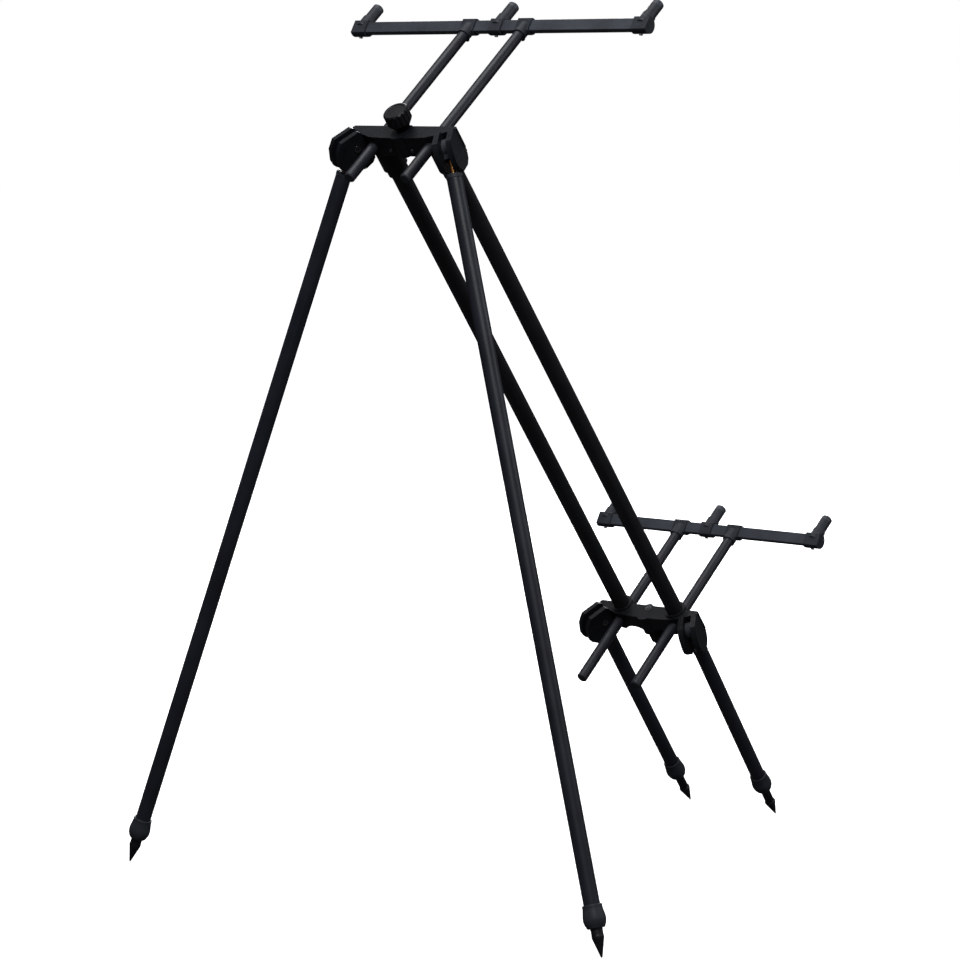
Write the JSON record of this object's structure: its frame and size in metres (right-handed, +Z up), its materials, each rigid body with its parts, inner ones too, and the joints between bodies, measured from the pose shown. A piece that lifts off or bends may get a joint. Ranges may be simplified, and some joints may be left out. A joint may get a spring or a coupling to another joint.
{
  "type": "fishing rod stand",
  "caption": "High four-legged rod stand: sloping twin main tubes between two brackets, hinged spiked legs and sliding masts with threaded socket bars.",
  "frame": {"origin": "centre of the stand's footprint box on the ground", "axes": "+X across the stand, parallel to the bars; +Y from the high front end (splayed long legs) towards the low rear end; +Z up"},
  "size_m": [0.8534, 0.9338, 1.2413],
  "materials": {
    "spine": "satin black anodised aluminium, very dark, fine lengthwise grain",
    "leg": "satin black anodised aluminium tube with fine lengthwise grain",
    "bracket": "glass-filled black moulding, fine texture, satin edges",
    "bar": "charcoal anodised aluminium, satin",
    "fitting": "charcoal moulded fitting, fine matt texture",
    "upright": "charcoal anodised aluminium tube, satin",
    "knob": "black moulding with a scalloped rim",
    "steel": "blackened steel fastener",
    "bronze": "copper-bronze anodised rod",
    "spring": "bright spring steel wire",
    "spike": "blackened hardened steel with a worn tip"
  },
  "bodies": {
    "frame": {"head_bracket": "bracket", "rear_bracket": "bracket", "spine_tube_left": "spine", "spine_tube_right": "spine", "spine_collars": "bracket", "pivot_pins": "steel", "bracket_screws": "steel", "clamp_nuts": "steel"},
    "head_clamp": {"head_knob": "knob", "head_knob_stud": "steel"},
    "rear_clamp": {"rear_knob": "knob", "rear_knob_stud": "steel"},
    "front_mast": {"front_upright_left": "upright", "front_upright_right": "upright", "front_upright_caps": "fitting", "front_bar": "bar", "front_tees": "fitting", "front_socket_left": "fitting", "front_socket_centre": "fitting", "front_socket_right": "fitting", "front_socket_inserts": "bar", "front_bar_screws": "steel"},
    "rear_mast": {"rear_upright_left": "upright", "rear_upright_right": "upright", "rear_upright_caps": "fitting", "rear_bar": "bar", "rear_tees": "fitting", "rear_socket_left": "fitting", "rear_socket_centre": "fitting", "rear_socket_right": "fitting", "rear_socket_inserts": "bar", "rear_bar_screws": "steel"},
    "front_left_hinge": {"front_left_knuckle": "fitting", "front_left_rod": "bronze", "front_left_spring": "spring"},
    "front_left_leg": {"front_left_bush": "fitting", "front_left_tube": "leg", "front_left_foot": "fitting", "front_left_spike": "spike"},
    "front_right_hinge": {"front_right_knuckle": "fitting", "front_right_rod": "bronze", "front_right_spring": "spring"},
    "front_right_leg": {"front_right_bush": "fitting", "front_right_tube": "leg", "front_right_foot": "fitting", "front_right_spike": "spike"},
    "rear_left_hinge": {"rear_left_knuckle": "fitting", "rear_left_rod": "bronze", "rear_left_spring": "spring"},
    "rear_left_leg": {"rear_left_bush": "fitting", "rear_left_tube": "leg", "rear_left_foot": "fitting", "rear_left_spike": "spike"},
    "rear_right_hinge": {"rear_right_knuckle": "fitting", "rear_right_rod": "bronze", "rear_right_spring": "spring"},
    "rear_right_leg": {"rear_right_bush": "fitting", "rear_right_tube": "leg", "rear_right_foot": "fitting", "rear_right_spike": "spike"}
  },
  "joints": [
    {"name": "front_mast_slide", "type": "slide", "parent": "frame", "child": "front_mast", "axis": [0, 0.7727, 0.6347], "range_m": [-0.2, 0.04]},
    {"name": "rear_mast_slide", "type": "slide", "parent": "frame", "child": "rear_mast", "axis": [0, 0.7727, 0.6347], "range_m": [-0.14, 0.09]},
    {"name": "head_clamp_turn", "type": "hinge", "parent": "frame", "child": "head_clamp", "pos_m": [0, -0.37206, 1.07283], "axis": [0, -0.6347, 0.7727], "continuous": true},
    {"name": "rear_clamp_turn", "type": "hinge", "parent": "frame", "child": "rear_clamp", "pos_m": [0, 0.25632, 0.30782], "axis": [0, -0.6347, 0.7727], "continuous": true},
    {"name": "front_left_fold", "type": "hinge", "parent": "frame", "child": "front_left_hinge", "pos_m": [-0.0852, -0.36963, 1.036], "axis": [0.9048, -0.329, -0.2703], "range_deg": [-20, 43]},
    {"name": "front_left_pull", "type": "slide", "parent": "front_left_hinge", "child": "front_left_leg", "axis": [-0.3114, -0.0785, -0.947], "range_m": [0, 0.008], "stiffness_N_per_m": 1500, "springref_m": -0.012, "deforming": ["front_left_spring"]},
    {"name": "front_right_fold", "type": "hinge", "parent": "frame", "child": "front_right_hinge", "pos_m": [0.0852, -0.36963, 1.036], "axis": [0.9048, 0.329, 0.2703], "range_deg": [-20, 43]},
    {"name": "front_right_pull", "type": "slide", "parent": "front_right_hinge", "child": "front_right_leg", "axis": [0.3114, -0.0785, -0.947], "range_m": [0, 0.008], "stiffness_N_per_m": 1500, "springref_m": -0.012, "deforming": ["front_right_spring"]},
    {"name": "rear_left_fold", "type": "hinge", "parent": "frame", "child": "rear_left_hinge", "pos_m": [-0.0852, 0.22067, 0.31736], "axis": [0.9046, -0.342, -0.2544], "range_deg": [-105, 1.5]},
    {"name": "rear_left_pull", "type": "slide", "parent": "rear_left_hinge", "child": "rear_left_leg", "axis": [0.0093, 0.6125, -0.7904], "range_m": [0, 0.008], "stiffness_N_per_m": 1500, "springref_m": -0.012, "deforming": ["rear_left_spring"]},
    {"name": "rear_right_fold", "type": "hinge", "parent": "frame", "child": "rear_right_hinge", "pos_m": [0.0852, 0.22067, 0.31736], "axis": [0.9046, 0.342, 0.2544], "range_deg": [-105, 1.5]},
    {"name": "rear_right_pull", "type": "slide", "parent": "rear_right_hinge", "child": "rear_right_leg", "axis": [-0.0093, 0.6125, -0.7904], "range_m": [0, 0.008], "stiffness_N_per_m": 1500, "springref_m": -0.012, "deforming": ["rear_right_spring"]}
  ]
}
